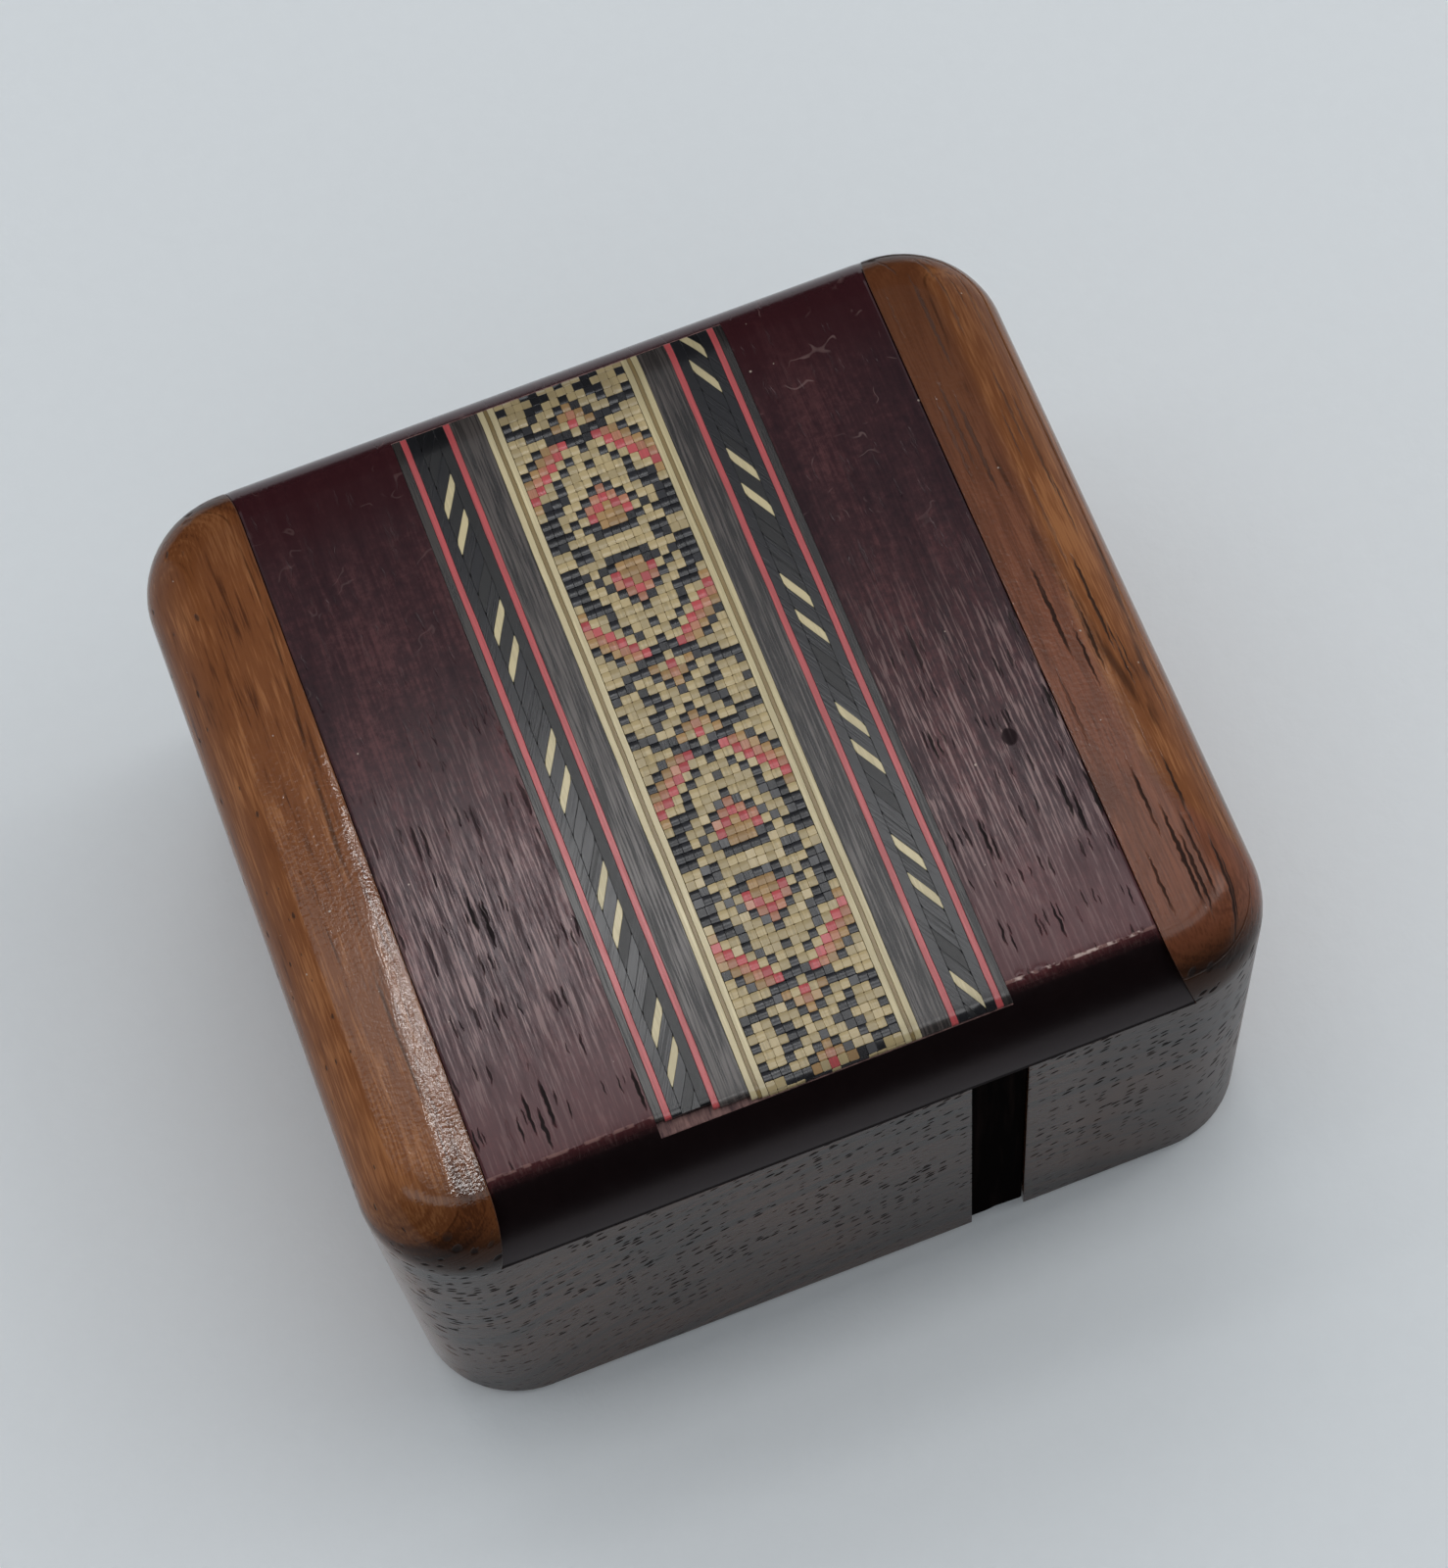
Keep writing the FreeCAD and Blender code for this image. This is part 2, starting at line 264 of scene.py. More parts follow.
class Finish:
    """A material under construction. Its tones are laid one over another. Places are in millimetres."""

    def __init__(self, name, specular=0.5):
        self.material = bpy.data.materials.new(name)
        self.material.use_nodes = True
        self.tree = self.material.node_tree
        self.shader = self.tree.nodes["Principled BSDF"]
        self.shader.inputs["Specular IOR Level"].default_value = specular
        self.base = None
        place = self.signal("ShaderNodeTexCoord", {}, "Object")
        self.place = self.scaled(place, (1 / MM, 1 / MM, 1 / MM))

    def node(self, kind, sockets, **options):
        made = self.tree.nodes.new(kind)
        for name, value in options.items():
            setattr(made, name, value)
        for name, value in sockets.items():
            self.feed(made.inputs[name], value)
        return made

    def signal(self, kind, sockets, output=0, **options):
        return Signal(self, self.node(kind, sockets, **options).outputs[output])

    def feed(self, socket, value):
        if isinstance(value, Signal):
            self.tree.links.new(value.socket, socket)
        elif socket.type == "RGBA" and len(value) == 3:
            socket.default_value = (*value, 1.0)
        else:
            socket.default_value = value

    def math(self, operation, *values):
        return self.signal("ShaderNodeMath", dict(enumerate(values)), operation=operation)

    def scaled(self, vector, factors):
        return self.signal("ShaderNodeVectorMath", {0: vector, 1: factors}, operation="MULTIPLY")

    def moved(self, vector, offset):
        return self.signal("ShaderNodeVectorMath", {0: vector, 1: offset}, operation="ADD")

    def distance(self, vector):
        return self.signal("ShaderNodeVectorMath", {0: vector}, "Value", operation="LENGTH")

    def axes(self, vector):
        made = self.node("ShaderNodeSeparateXYZ", {0: vector})
        return [Signal(self, output) for output in made.outputs]

    def flat(self, across, along):
        return self.signal("ShaderNodeCombineXYZ", {0: across, 1: along})

    def noise(self, vector, scale, detail=2.0, roughness=0.5):
        sockets = {"Vector": vector, "Scale": scale, "Detail": detail, "Roughness": roughness}
        return self.signal("ShaderNodeTexNoise", sockets, "Fac")

    def fibrous(self, draw, scale, detail, roughness=0.5):
        """Noise drawn out along Y, the more the smaller the draw."""
        return self.noise(self.scaled(self.place, (1.0, draw, 1.0)), scale, detail, roughness)

    def swayed(self, scale, amount):
        """Places that wander by up to about half the amount in X and Z, so that straight grain bends."""
        sockets = {"Vector": self.place, "Scale": scale, "Detail": 1.0}
        drift = self.moved(self.signal("ShaderNodeTexNoise", sockets, "Color"), (-0.5, -0.5, -0.5))
        return self.moved(self.place, self.scaled(drift, (amount, 0.0, amount)))

    def facing(self, sign, low, high):
        """Mask of the faces that look along Y, or against it for a sign of -1: end grain."""
        along = self.axes(self.signal("ShaderNodeTexCoord", {}, "Normal"))[1]
        return (along * sign).step(low, high)

    def pores(self, across, along, pitch, longer, radius, share, rim):
        """Mask of scattered pores. Their cells are the pitch wide and so many times longer.

        The radius goes from its first to its second value and the rim is its soft edge, in cells. The
        share is how many cells have a pore.
        """
        place = self.flat(across * (1 / pitch), along * (1 / (pitch * longer)))
        cells = self.node("ShaderNodeTexVoronoi", {"Vector": place, "Scale": 1.0}, voronoi_dimensions="2D")
        chances = self.node("ShaderNodeSeparateColor", {0: Signal(self, cells.outputs["Color"])})
        size = Signal(self, chances.outputs[0])
        choice = Signal(self, chances.outputs[1])
        inside = radius[0] + size * (radius[1] - radius[0]) - Signal(self, cells.outputs["Distance"])
        soft_choice = 0.05
        return inside.step(0.0, rim) * choice.step(1 - share, 1 - share + soft_choice)

    def dust(self, across, along):
        """Mask of a few specks."""
        return self.pores(across, along, 3.4, 1.0, (0.01, 0.032), share=0.22, rim=0.012)

    def shade(self, factor, stops):
        """Lays the first tones, from one to the next as the factor rises through the stops."""
        made = self.node("ShaderNodeValToRGB", {"Fac": factor})
        elements = made.color_ramp.elements
        while len(elements) < len(stops):
            elements.new(1.0)
        for element, (place, tone) in zip(elements, stops):
            element.position = place
            element.color = (*tone, 1.0)
        self.base = Signal(self, made.outputs["Color"])

    def mix(self, factor, first, second):
        return self.signal("ShaderNodeMix", {0: factor, 6: first, 7: second}, 2, data_type="RGBA")

    def paint(self, tone, amount):
        """Lays a tone over what is there."""
        self.base = self.mix(amount, self.base, tone)

    def finished(self, roughness, height=None, depth=MM, ease=0.0):
        """The material, with relief of a height times the depth. Sharp edges look rounded by the ease."""
        self.feed(self.shader.inputs["Base Color"], self.base)
        self.feed(self.shader.inputs["Roughness"], roughness)
        if height is not None:
            sockets = {"Height": height, "Distance": depth, "Strength": 1.0}
            if ease > 0.0:
                sockets["Normal"] = self.signal("ShaderNodeBevel", {"Radius": ease}, samples=4)
            self.feed(self.shader.inputs["Normal"], self.signal("ShaderNodeBump", sockets))
        return self.material


class AmberWood(Finish):
    """Polished amber wood of the body, with dark end grain at its front and back."""

    pith_x = 4.0
    pith_z = -30.0
    right_rail = (16.0, 18.0)
    heart_edge = 27.4
    top_level = (36.4, 37.4)
    crease_x = -23.9
    crease_turn = 0.07
    crease_slope = 0.055
    crease_depth = 0.4
    ease = 0.18 * MM

    def __init__(self):
        super().__init__("amber_wood_finish", specular=0.22)
        self.x, self.y, self.z = self.axes(self.place)
        self.woods = settings("block_woods")
        self.end = self.facing(1, 0.3, 0.8) + self.facing(-1, 0.3, 0.8)
        self.long_grain = 1 - self.end
        self.broken = self.noise(self.scaled(self.place, (0.9, 0.12, 0.9)), 1.0, 3.0, 0.65)
        self.lay_rings()
        self.lay_heart()
        self.lay_veins()
        self.lay_stains_and_shade()
        self.lay_pores()

    def lay_rings(self):
        """Growth rings round a pith under the box, drawn out along Y, and fine fibres."""
        woods = self.woods
        bent = self.swayed(scale=0.03, amount=1.2)
        self.bent_x, self.bent_y = self.axes(bent)[:2]
        from_pith = self.moved(bent, (-self.pith_x, 0.0, -self.pith_z))
        self.radius = self.distance(self.scaled(from_pith, (1.0, 0.0, 1.0)))
        self.drawn = self.flat(self.radius, 0.025 * self.bent_y)
        self.rings = self.noise(self.drawn, 0.8, 2.0, 0.6)
        self.lines = self.noise(self.drawn, 3.6, 3.0, 0.65)
        self.fibres = self.fibrous(0.05, 7.0, 2.0)
        self.shade(0.36 * self.rings + 0.34 * self.lines + 0.3 * self.fibres, [
            (0.4, woods.amber_dark), (0.48, woods.amber), (0.52, woods.amber), (0.6, woods.amber_light),
        ])

    def lay_heart(self):
        """Pinkish heartwood on the inner side of the right rail, darker towards the back."""
        woods = self.woods
        limit = self.heart_edge + 5.0 * self.y.step(-14.0, -26.0)
        heart = self.bent_x.step(*self.right_rail) * (self.bent_x - limit).step(0.5, -0.5)
        streaks = 0.5 * self.lines + 0.5 * self.fibres
        tone = self.mix(streaks.step(0.4, 0.58), darker(woods.amber_heart, 0.62), woods.amber_heart)
        tone = self.mix(0.75 * self.bent_y.step(-8.0, 26.0), tone, woods.amber_dark)
        self.paint(tone, 0.85 * heart * self.long_grain)
        self.paint(woods.amber_dark, 0.4 * self.y.step(0.0, 26.0) * self.x.step(10.0, 20.0))

    def lay_veins(self):
        """Thin dark veins that follow the rings and break off now and then."""
        spread = 0.5 * self.radius + self.noise(self.drawn, 0.5, 1.0)
        from_vein = abs(spread.fraction() - 0.5)
        veins = from_vein.step(0.032, 0.008) * self.broken.step(0.44, 0.58)
        self.paint(darker(self.woods.amber_dark, 0.35), 0.65 * veins)

    def lay_stains_and_shade(self):
        """Stained end grain with its rings, darker front ends of the rails, and painted shade on the back
        left.
        """
        dark = self.woods.amber_dark
        stain = 0.72 + 0.45 * self.noise(self.place, 0.09)
        self.paint(darker(dark, 0.27), self.end * stain)
        front_ends = (self.y + 0.03 * self.x).step(-22.5, -27.5)
        self.paint(darker(dark, 0.5), 0.6 * front_ends * self.long_grain)
        # Painted shade: the back left of the body is darkened.
        self.paint(dark, 0.45 * self.y.step(20.0, 27.0) * self.x.step(0.0, -10.0))
        self.paint(self.woods.pore, 0.6 * self.rings.step(0.5, 0.34) * self.end)

    def lay_pores(self):
        """Cracks along the right edge, pits along the left, slanted pores in the end grain, and dust."""
        torn = self.axes(self.swayed(scale=1.5, amount=0.2))
        round_edge = abs(torn[0]) - torn[2]
        cracks = self.pores(round_edge, self.y, 0.6, 26.0, (0.13, 0.32), share=0.72, rim=0.1)
        cracks = cracks * self.x.step(23.8, 25.2) * self.x.step(31.0, 29.4) * self.broken.step(0.34, 0.46)
        cracks = cracks * (0.5 + 0.5 * self.y.step(14.0, 2.0))
        pits = self.pores(round_edge, self.y, 1.3, 2.0, (0.06, 0.15), share=0.35, rim=0.06)
        pits = pits * self.x.step(-27.0, -29.0)
        leaning = self.z - 0.35 * self.x
        dots = self.pores(leaning, self.x, 0.64, 1.8, (0.16, 0.4), share=0.62, rim=0.2)
        clusters = self.noise(self.place, 0.2).step(0.4, 0.54) * self.z.step(4.0, 16.0)
        dots = dots * (0.2 + 0.8 * clusters)
        self.open_pores = (cracks.larger(0.8 * pits) * self.long_grain).larger(dots * self.end)
        self.paint(self.woods.pore, 0.85 * self.open_pores)
        self.paint(self.woods.dust, self.dust(round_edge, self.y))

    def wear(self):
        """How far the left rail's top has worn down past a ragged line, and the scuffs on that facet."""
        ragged = self.noise(self.scaled(self.place, (1.0, 1.0, 0.0)), 0.3, 1.0)
        past = self.x - self.crease_x - (self.crease_turn * self.y - ragged)
        on_top = self.z.step(*self.top_level)
        worn = past.larger(0.0) * on_top * self.crease_slope
        scuffed = past.step(0.0, 0.2) * self.x.step(0.0, -10.0) * on_top
        return worn.smaller(self.crease_depth), self.noise(self.place, 4.5) * scuffed

    def made(self):
        worn, scuffs = self.wear()
        polish = self.noise(self.place, 3.0)
        height = 0.003 * self.fibres - 0.06 * self.open_pores + 0.009 * polish + 0.012 * scuffs - worn
        roughness = 0.07 + 0.05 * self.lines + 0.6 * self.open_pores + 0.18 * self.end
        roughness = roughness + 0.05 * self.x.step(*self.right_rail)
        return self.finished(roughness, height, ease=self.ease)


class LidWood(Finish):
    """Polished dark purple-brown wood, smooth at the back, with open pores and worn ridges in front, painted
    glints on those ridges and painted shade on the nose.
    """

    tint = (1.0, 0.86, 0.88, 1.0)
    knot_place = (19.7, -9.2)

    def __init__(self):
        super().__init__("lid_wood_finish", specular=0.45)
        self.x, self.y, self.z = self.axes(self.place)
        self.shader.inputs["Specular Tint"].default_value = self.tint
        self.woods = settings("block_woods")
        self.form = LidForm()
        self.nose = self.facing(-1, 0.2, 0.42)
        self.top = 1 - self.facing(-1, 0.05, 0.2)
        self.lay_grain()
        self.lay_ridges()
        self.lay_back()
        self.lay_pores()
        self.lay_wear()

    def lay_grain(self):
        """Streaks, clouds and mottles of the main tones, redder towards the front."""
        woods = self.woods
        drawn = self.scaled(self.swayed(scale=0.03, amount=3.0), (1.0, 0.04, 1.0))
        self.streaks = self.noise(drawn, 1.1, 4.0, 0.6)
        clouds = self.noise(self.place, 0.12, 3.0, 0.6)
        tone = 0.22 * self.noise(drawn, 0.25) + 0.18 * self.streaks + 0.18 * self.fibrous(0.06, 5.0, 3.0, 0.6)
        tone = tone + 0.18 * clouds + 0.24 * self.noise(self.place, 1.5, 4.0, 0.7)
        self.shade(tone, [(0.42, woods.lid_dark), (0.5, woods.lid), (0.58, woods.lid_light)])
        self.paint(woods.lid_dark, 0.4 * self.y.step(-4.0, 24.0))
        self.near_front = self.y.step(-12.0, -24.0)
        self.paint(woods.lid_wine, 0.6 * self.near_front)
        self.open_grain = (self.y + 14.0 * clouds).step(14.0, 0.0)

    def lay_ridges(self):
        """Painted glints on the worn ridges and painted shade in the valleys between them, where the grain is
        open.
        """
        ridged = self.open_grain * (1 - 0.75 * self.near_front)
        ridges = self.fibrous(0.05, 5.6, 3.0, 0.6)
        self.ripple = ridges * (0.1 + ridged)
        # Painted glints: the ridges are lightened where the grain is open.
        self.paint(self.woods.lid_glint_and_scuff, 0.7 * ridges.step(0.52, 0.62) * ridged)
        self.valleys = ridges.step(0.47, 0.4) * ridged
        # Painted shade: the valleys between the ridges are darkened.
        self.paint(darker(self.woods.lid_dark, 0.8), 0.5 * self.valleys)

    def lay_back(self):
        """The nose, dark as end grain and darker still with painted shade, the dark red back, and fine scuffs
        there, most of them on the right.
        """
        # Painted shade: the front-facing nose is darkened near to black, beyond the tone of its end grain.
        self.paint(darker(self.woods.lid_dark, 0.1), 0.97 * self.nose)
        self.paint(self.woods.lid_back, 0.8 * self.y.step(17.0, 26.0))
        wisps = self.noise(self.swayed(scale=0.4, amount=2.0), 0.3)
        scuffs = abs(wisps - 0.5).step(0.014, 0.004) * self.noise(self.place, 0.45, 1.0).step(0.56, 0.66)
        scuffs = scuffs * self.y.step(6.0, 12.0) * (0.4 + 0.6 * self.x.step(-4.0, 6.0))
        self.paint(self.woods.lid_glint_and_scuff, 0.3 * scuffs)

    def lay_pores(self):
        """Long and short pores, most of them where the grain is open, a knot, and dust."""
        torn_x, torn_y = self.axes(self.swayed(scale=1.3, amount=0.35))[:2]
        long_pores = self.pores(torn_x, torn_y, 0.6, 12.0, (0.11, 0.28), share=0.3, rim=0.09)
        long_pores = long_pores * (0.05 + 0.95 * self.open_grain)
        short_pores = self.pores(torn_x, torn_y, 0.4, 9.0, (0.1, 0.26), share=0.3, rim=0.12)
        short_pores = short_pores * (0.1 + 0.6 * self.open_grain)
        self.open_pores = long_pores.larger(short_pores) * self.top
        self.paint(self.woods.pore, 0.95 * self.open_pores)
        radius = settings("lid_shape").knot_radius / MM
        from_knot = self.moved(self.place, (-self.knot_place[0], -self.knot_place[1], 0.0))
        self.knot = self.distance(self.scaled(from_knot, (1.0, 0.8, 0.0))).step(radius, 0.72 * radius)
        self.paint(darker(self.woods.lid_dark, 0.5), 0.9 * self.knot)
        self.paint(self.woods.dust, self.dust(self.x, self.y) * self.top)

    def lay_wear(self):
        """Darker along the seam under the nose, and a pale line of wear and painted highlight along the front
        arris, paler still at the chips on the right.
        """
        above_seam = self.z - self.form.underside / MM
        self.seam = above_seam.step(0.26, 0.16) * self.nose
        self.paint(darker(self.woods.pore, 0.5), self.seam)
        from_arris = abs(self.y - self.form.arris / MM)
        self.worn = from_arris.step(0.16, 0.05) * self.noise(self.place, 1.6).step(0.38, 0.55)
        # Painted highlight over real wear: a pale line along the front arris.
        self.paint(self.woods.lid_bare_and_highlight, 0.8 * self.worn)
        chipped = self.noise(self.place, 1.1, 3.0, 0.6).step(0.49, 0.55) * self.worn
        # The chips on the right are lightened further, partly as fresh breaks and partly as painted
        # highlight.
        self.paint(self.woods.lid_chip_and_highlight, 0.9 * chipped * self.x.step(12.0, 14.0))

    def made(self):
        height = (0.006 * self.ripple - 0.1 * self.open_pores) * self.top
        roughness = 0.1 + 0.1 * self.streaks + 0.12 * self.valleys + 0.15 * self.nose
        dull = self.worn + self.open_pores + self.knot + self.seam
        return self.finished(roughness + 0.6 * dull, height)


def bare_wood():
    """Floor of the band's groove, unpolished and sanded grey by wear."""
    woods = settings("block_woods")
    finish = Finish("bare_groove_finish")
    grain = finish.fibrous(0.2, 3.0, 3.0, 0.6)
    finish.shade(grain, [(0.3, woods.lid), (0.65, woods.lid_bare_and_highlight)])
    return finish.finished(0.6, grain, 0.05 * MM)


def ebony_wood():
    """Dull near-black wood with a few brown streaks."""
    woods = settings("block_woods")
    finish = Finish("ebony_finish", specular=0.0)
    streaks = finish.noise(finish.scaled(finish.place, (1.0, 1.0, 0.05)), 1.4, 3.0)
    finish.shade(streaks, [(0.5, woods.ebony), (0.72, woods.ebony_streak)])
    return finish.finished(0.3, streaks, 0.02 * MM)


def veneer(name, tone, dark, contrast=0.5, variety=0.3, lean=0.0, roughness=0.17, end_darkening=0.55):
    """Thin dyed or plain veneer, sanded flush, darker towards its ends. Its fibres run along Y, or lean."""
    finish = Finish(f"{name}_veneer", specular=0.7)
    x, y = finish.axes(finish.place)[:2]
    across = x + y * lean
    fibres = finish.noise(finish.flat(across, y * (1 / 40)), 7.0)
    patches = finish.noise(finish.flat(across, y * (1 / 12)), 2.2, 2.0, 0.6)
    chance = finish.signal("ShaderNodeNewGeometry", {}, "Random Per Island")
    uneven = 0.65 * fibres + 0.35 * patches + (chance - 0.5) * variety
    factor = uneven.step(0.59, 0.41) * contrast
    finish.base = finish.mix(factor, tone, dark)
    ends = y.step(22.0, 27.0) + y.step(-24.0, -27.0)
    finish.paint(darker(tone, 0.35), ends * end_darkening)
    return finish.finished(roughness + 0.08 * factor, fibres, 0.006 * MM)


def dress(node, material):
    """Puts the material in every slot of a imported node."""
    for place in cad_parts[node].material_slots:
        place.material = material


class Solid:
    """Corners and faces of closed pieces that become one mesh."""

    def __init__(self):
        self.corners = []
        self.faces = []
        self.finishes = []

    def ring(self, places):
        first = len(self.corners)
        self.corners += places
        return list(range(first, len(self.corners)))

    def face(self, numbers, finish=0):
        self.faces.append(numbers)
        self.finishes.append(finish)

    def tube(self, rings):
        """Closes the space along closed rings of as many corners."""
        for before, after in zip(rings, rings[1:]):
            for number in range(len(before)):
                following = (number + 1) % len(before)
                self.face([before[number], before[following], after[following], after[number]])
        self.face(rings[0][::-1])
        self.face(rings[-1])

    def piece(self, node, materials, slot, sharp_degrees=30, body="lid"):
        """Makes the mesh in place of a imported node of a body."""
        name = f"{node}_piece"
        mesh = bpy.data.meshes.new(name)
        mesh.from_pydata(self.corners, [], self.faces)
        mesh.polygons.foreach_set("material_index", self.finishes)
        for material in materials:
            mesh.materials.append(material)
        work = bmesh.new()
        work.from_mesh(mesh)
        bmesh.ops.remove_doubles(work, verts=work.verts, dist=WELD)
        bmesh.ops.dissolve_degenerate(work, edges=work.edges, dist=WELD)
        bmesh.ops.recalc_face_normals(work, faces=work.faces)
        work.to_mesh(mesh)
        work.free()
        mesh.shade_smooth()
        mesh.set_sharp_from_angle(angle=math.radians(sharp_degrees))
        made = bpy.data.objects.new(name, mesh)
        bpy.context.scene.collection.objects.link(made)
        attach(made, body)
        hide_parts(node)


def packed_corners(node):
    """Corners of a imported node, each one once."""
    digits = 7
    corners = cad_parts[node].data.vertices
    return {tuple(round(value, digits) for value in corner.co) for corner in corners}


class LidForm:
    """Outline of the lid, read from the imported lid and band."""

    nose_steps = 22
    top_steps = 12
    back_steps = 16
    chip_rows = (0.1, 0.2, 0.35, 0.55, 0.9)

    def __init__(self):
        shape = settings("lid_shape")
        low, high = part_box("lid")
        corners = [corner.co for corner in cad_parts["lid"].data.vertices]
        flat = [corner for corner in corners if high[2] - corner.z < TOLERANCE]
        self.front, self.back = low[1], high[1]
        self.underside, self.top = low[2], high[2]
        self.arris = min(corner.y for corner in flat)
        self.round_start = max(corner.y for corner in flat)
        self.top_half = max(corner.x for corner in flat)
        self.low_half = high[0]
        self.groove_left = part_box("edge_line_left")[0][0] - shape.glue_line
        self.groove_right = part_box("edge_line_right")[1][0] + shape.glue_line
        self.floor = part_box("wide_strip_left")[0][2]
        self.round_radius = self.back - self.round_start
        depth = self.top - self.underside
        nose = self.arris - self.front
        slope = shape.arris_angle
        lean = 2 * (depth * math.cos(slope) - nose * math.sin(slope))
        self.nose_radius = (nose ** 2 + depth ** 2) / lean
        self.nose_y = self.arris + self.nose_radius * math.sin(slope)
        self.nose_z = self.top - self.nose_radius * math.cos(slope)

    def half_width(self, z):
        share = (z - self.underside) / (self.top - self.underside)
        return self.low_half + share * (self.top_half - self.low_half)

    def nose_place(self, z):
        """Where the rounded front end is at a height."""
        return self.nose_y - math.sqrt(self.nose_radius ** 2 - (z - self.nose_z) ** 2)

    def block_top(self, y):
        """Height of the closed box's top, rounded towards its front and back."""
        over = max(abs(y) - self.round_start, 0.0)
        return self.top - self.round_radius + math.sqrt(max(self.round_radius ** 2 - over ** 2, 0.0))

    def round_place(self, z):
        """Where the rounding at the back is at a height."""
        drop = z - (self.top - self.round_radius)
        return self.round_start + math.sqrt(max(self.round_radius ** 2 - drop ** 2, 0.0))

    def profile(self):
        """Points in Y and Z from the lower front edge over the top to the lower back edge."""
        start = math.atan2(self.underside - self.nose_z, self.front - self.nose_y) % math.tau
        end = math.atan2(self.top - self.nose_z, self.arris - self.nose_y) % math.tau
        places = []
        for step in range(self.nose_steps + 1):
            angle = start + (end - start) * step / self.nose_steps
            y = self.nose_y + self.nose_radius * math.cos(angle)
            places.append((y, self.nose_z + self.nose_radius * math.sin(angle)))
        places.append((self.nose_place(self.floor), self.floor))
        for reach in self.chip_rows:
            places.append((self.arris + reach * MM, self.top))
            y = self.arris - reach * MM
            height = math.sqrt(self.nose_radius ** 2 - (y - self.nose_y) ** 2)
            places.append((y, self.nose_z + height))
        for step in range(1, self.top_steps):
            places.append((self.arris + (self.round_start - self.arris) * step / self.top_steps, self.top))
        for step in range(self.back_steps + 1):
            angle = math.pi / 2 * step / self.back_steps
            y = self.round_start + self.round_radius * math.sin(angle)
            places.append((y, self.top - self.round_radius * (1 - math.cos(angle))))
        places.append((self.round_place(self.floor), self.floor))
        return sorted(places)

    def columns(self, shape):
        """X of the points across the lid, and whether each is in the groove. Its sides have both."""
        inner = self.top_half - shape.side_reach
        count = round(2 * inner / shape.column)
        places = [-inner + 2 * inner * number / count for number in range(count + 1)]
        columns = [(x, self.groove_left < x < self.groove_right) for x in places]
        for edge in (self.groove_left, self.groove_right):
            columns += [(edge, False), (edge, True)]
        outside = {self.groove_left: -1, self.groove_right: 1}
        columns.sort(key=lambda column: (column[0], column[1] * -outside.get(column[0], 0)))
        return columns

    def chip(self, x, y, shape):
        """How deep the wood is broken out near the front arris, most of all on the right."""
        near = max(1 - abs(y - self.arris) / shape.chip_reach, 0.0)
        along = x / MM
        rough = noise.noise((along * 0.9, 3.1, 0.0)) + 0.6 * noise.noise((along * 3.0, 7.7, 0.0))
        nick = max(rough - 0.4, 0.0) + 0.06 * abs(noise.noise((along * 5.0, 1.3, 0.0)))
        if x > self.groove_right:
            nick = 2 * nick
        return shape.chip_depth * min(nick, 1.0) * near ** 2

    def is_bare(self, corners):
        """Whether a face lies on the groove's floor, or a little below it in a chip."""
        deepest = -0.05 * MM
        middle = sum(corner[0] for corner in corners) / len(corners)
        levels = [corner[2] - self.floor for corner in corners]
        in_groove = self.groove_left < middle < self.groove_right
        return in_groove and max(levels) <= TOLERANCE and min(levels) > deepest


def lid_board():
    """The lid with its groove, eased sides and a front arris that has lost some splinters."""
    shape = settings("lid_shape")
    form = LidForm()
    columns = form.columns(shape)
    push_back = 0.6
    solid = Solid()
    rings = []
    for y, z in form.profile():
        eased = max(z - shape.side_ease, form.underside)
        ring = [(-form.half_width(eased), y, eased)]
        for x, grooved in columns:
            depth = form.chip(x, y, shape)
            level = max(z - depth, form.underside)
            if grooved:
                level = min(level, form.floor)
            ring.append((x, y + push_back * depth, level))
        ring.append((form.half_width(eased), y, eased))
        rings.append(solid.ring(ring))
    gaps = range(len(columns) + 1)
    for before, after in zip(rings, rings[1:]):
        for number in gaps:
            face = [before[number], before[number + 1], after[number + 1], after[number]]
            solid.face(face, int(form.is_bare([solid.corners[corner] for corner in face])))
    for number in gaps:
        solid.face([rings[0][number + 1], rings[0][number], rings[-1][number], rings[-1][number + 1]])
    solid.face([ring[0] for ring in rings])
    solid.face([ring[-1] for ring in rings])
    return solid


